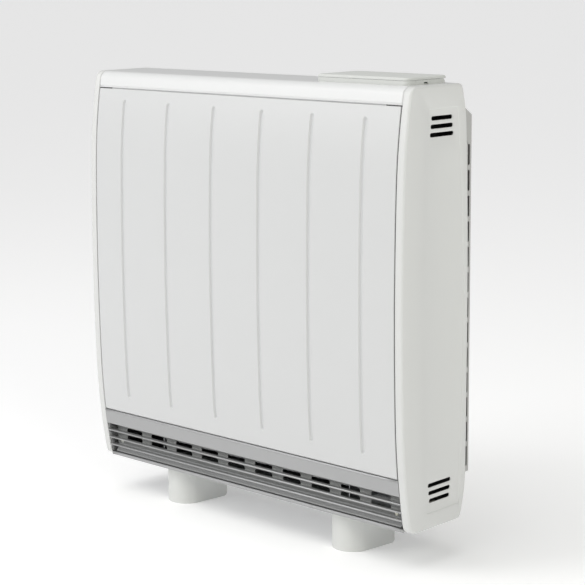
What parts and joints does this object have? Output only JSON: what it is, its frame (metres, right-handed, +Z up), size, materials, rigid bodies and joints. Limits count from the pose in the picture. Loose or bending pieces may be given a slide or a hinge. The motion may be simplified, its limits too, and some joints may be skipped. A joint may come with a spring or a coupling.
{
  "type": "storage heater",
  "caption": "Free-standing fan-assisted storage heater with a barrel-fronted casing, a low air outlet grille, a lidded control pod on top, a wall spacer and two shrouded feet.",
  "frame": {"origin": "bottom centre of the bounding box, on the floor under the feet", "axes": "+Z up, -Y out of the front into the room, +Y towards the wall, +X to the right seen from the front"},
  "size_m": [0.69, 0.185, 0.7396],
  "materials": {
    "white_enamel": "satin, very pale cool white",
    "side_moulding": "satin, pale warm grey",
    "silver_enamel": "satin, silver grey",
    "outlet_grey": "satin, dark grey",
    "spacer_grey": "matte, mid grey",
    "galvanised": "galvanised",
    "zinc_screw": "zinc plated",
    "foot_plastic": "fine texture",
    "brick": "pressed ferrite brick, rough",
    "element_sheath": "oxidised",
    "insulation": "fibrous board, matte",
    "bearing_bronze": "plain",
    "motor_black": "satin",
    "fan_aluminium": "plain",
    "bimetal": "plain",
    "terminal_plastic": "plain",
    "board_green": "lacquered circuit board",
    "ceramic_body": "moulded",
    "reset_red": "moulded",
    "gland_black": "plain",
    "pod_plastic": "fine texture, pale grey",
    "deck_plastic": "polished",
    "display_glass": "clear",
    "key_plastic": "moulded"
  },
  "bodies": {
    "heater": {"side_panel_left": "side_moulding", "side_panel_right": "side_moulding", "front_panel": "white_enamel", "top_cover": "white_enamel", "back_panel": "galvanised", "wall_bracket": "galvanised", "base_pan": "galvanised", "chassis_end_left": "galvanised", "chassis_end_right": "galvanised", "foot_bracket_left": "galvanised", "foot_bracket_right": "galvanised", "core_shelf": "galvanised", "fan_housing": "galvanised", "wall_spacer": "spacer_grey", "spacer_screws": "zinc_screw", "outlet_screws": "zinc_screw", "foot_screws": "zinc_screw", "damper_pins": "zinc_screw", "lid_pins": "zinc_screw", "cable_gland": "gland_black", "outlet_grille": "silver_enamel", "outlet_plate": "outlet_grey", "outlet_deflector": "outlet_grey", "foot_shroud_left": "foot_plastic", "foot_shroud_right": "foot_plastic", "brick_row_1": "brick", "brick_row_2": "brick", "brick_row_3": "brick", "brick_row_4": "brick", "brick_row_5": "brick", "brick_row_6": "brick", "element_lower": "element_sheath", "element_middle": "element_sheath", "element_upper": "element_sheath", "insulation_front": "insulation", "insulation_back": "insulation", "insulation_top": "insulation", "insulation_base": "insulation", "insulation_left": "insulation", "insulation_right": "insulation", "fan_bearing": "bearing_bronze", "fan_motor": "motor_black", "bimetal_strip": "bimetal", "terminal_block": "terminal_plastic", "power_board": "board_green", "control_board": "board_green", "limit_cutout": "ceramic_body", "control_base": "pod_plastic", "control_deck": "deck_plastic", "display_window": "display_glass"},
    "lid": {"control_lid": "pod_plastic"},
    "fan": {"fan_shaft": "zinc_screw", "fan_impeller": "fan_aluminium"},
    "damper": {"damper_flap": "galvanised"},
    "reset": {"reset_button": "reset_red"},
    "key_menu": {"key_menu": "key_plastic"},
    "key_back": {"key_back": "key_plastic"},
    "key_up": {"key_up": "key_plastic"},
    "key_down": {"key_down": "key_plastic"},
    "key_boost": {"key_boost": "key_plastic"}
  },
  "joints": [
    {"name": "lid_hinge", "type": "hinge", "parent": "heater", "child": "lid", "pos_m": [0.2335, 0.0335, 0.7356], "axis": [-1, 0, 0], "range_deg": [0, 100]},
    {"name": "press_menu", "type": "slide", "parent": "heater", "child": "key_menu", "axis": [0, 0, -1], "range_m": [0, 0.0008], "stiffness_N_per_m": 900, "springref_m": -0.0004},
    {"name": "press_back", "type": "slide", "parent": "heater", "child": "key_back", "axis": [0, 0, -1], "range_m": [0, 0.0008], "stiffness_N_per_m": 900, "springref_m": -0.0004},
    {"name": "press_up", "type": "slide", "parent": "heater", "child": "key_up", "axis": [0, 0, -1], "range_m": [0, 0.0008], "stiffness_N_per_m": 900, "springref_m": -0.0004},
    {"name": "press_down", "type": "slide", "parent": "heater", "child": "key_down", "axis": [0, 0, -1], "range_m": [0, 0.0008], "stiffness_N_per_m": 900, "springref_m": -0.0004},
    {"name": "press_boost", "type": "slide", "parent": "heater", "child": "key_boost", "axis": [0, 0, -1], "range_m": [0, 0.0008], "stiffness_N_per_m": 900, "springref_m": -0.0004},
    {"name": "fan_spin", "type": "hinge", "parent": "heater", "child": "fan", "pos_m": [0, 0.0055, 0.113], "axis": [1, 0, 0], "continuous": true},
    {"name": "damper_swing", "type": "hinge", "parent": "heater", "child": "damper", "pos_m": [0, -0.0345, 0.124], "axis": [-1, 0, 0], "range_deg": [0, 25]},
    {"name": "press_reset", "type": "slide", "parent": "heater", "child": "reset", "axis": [-1, 0, 0], "range_m": [0, 0.0012], "stiffness_N_per_m": 900, "springref_m": -0.0004}
  ]
}
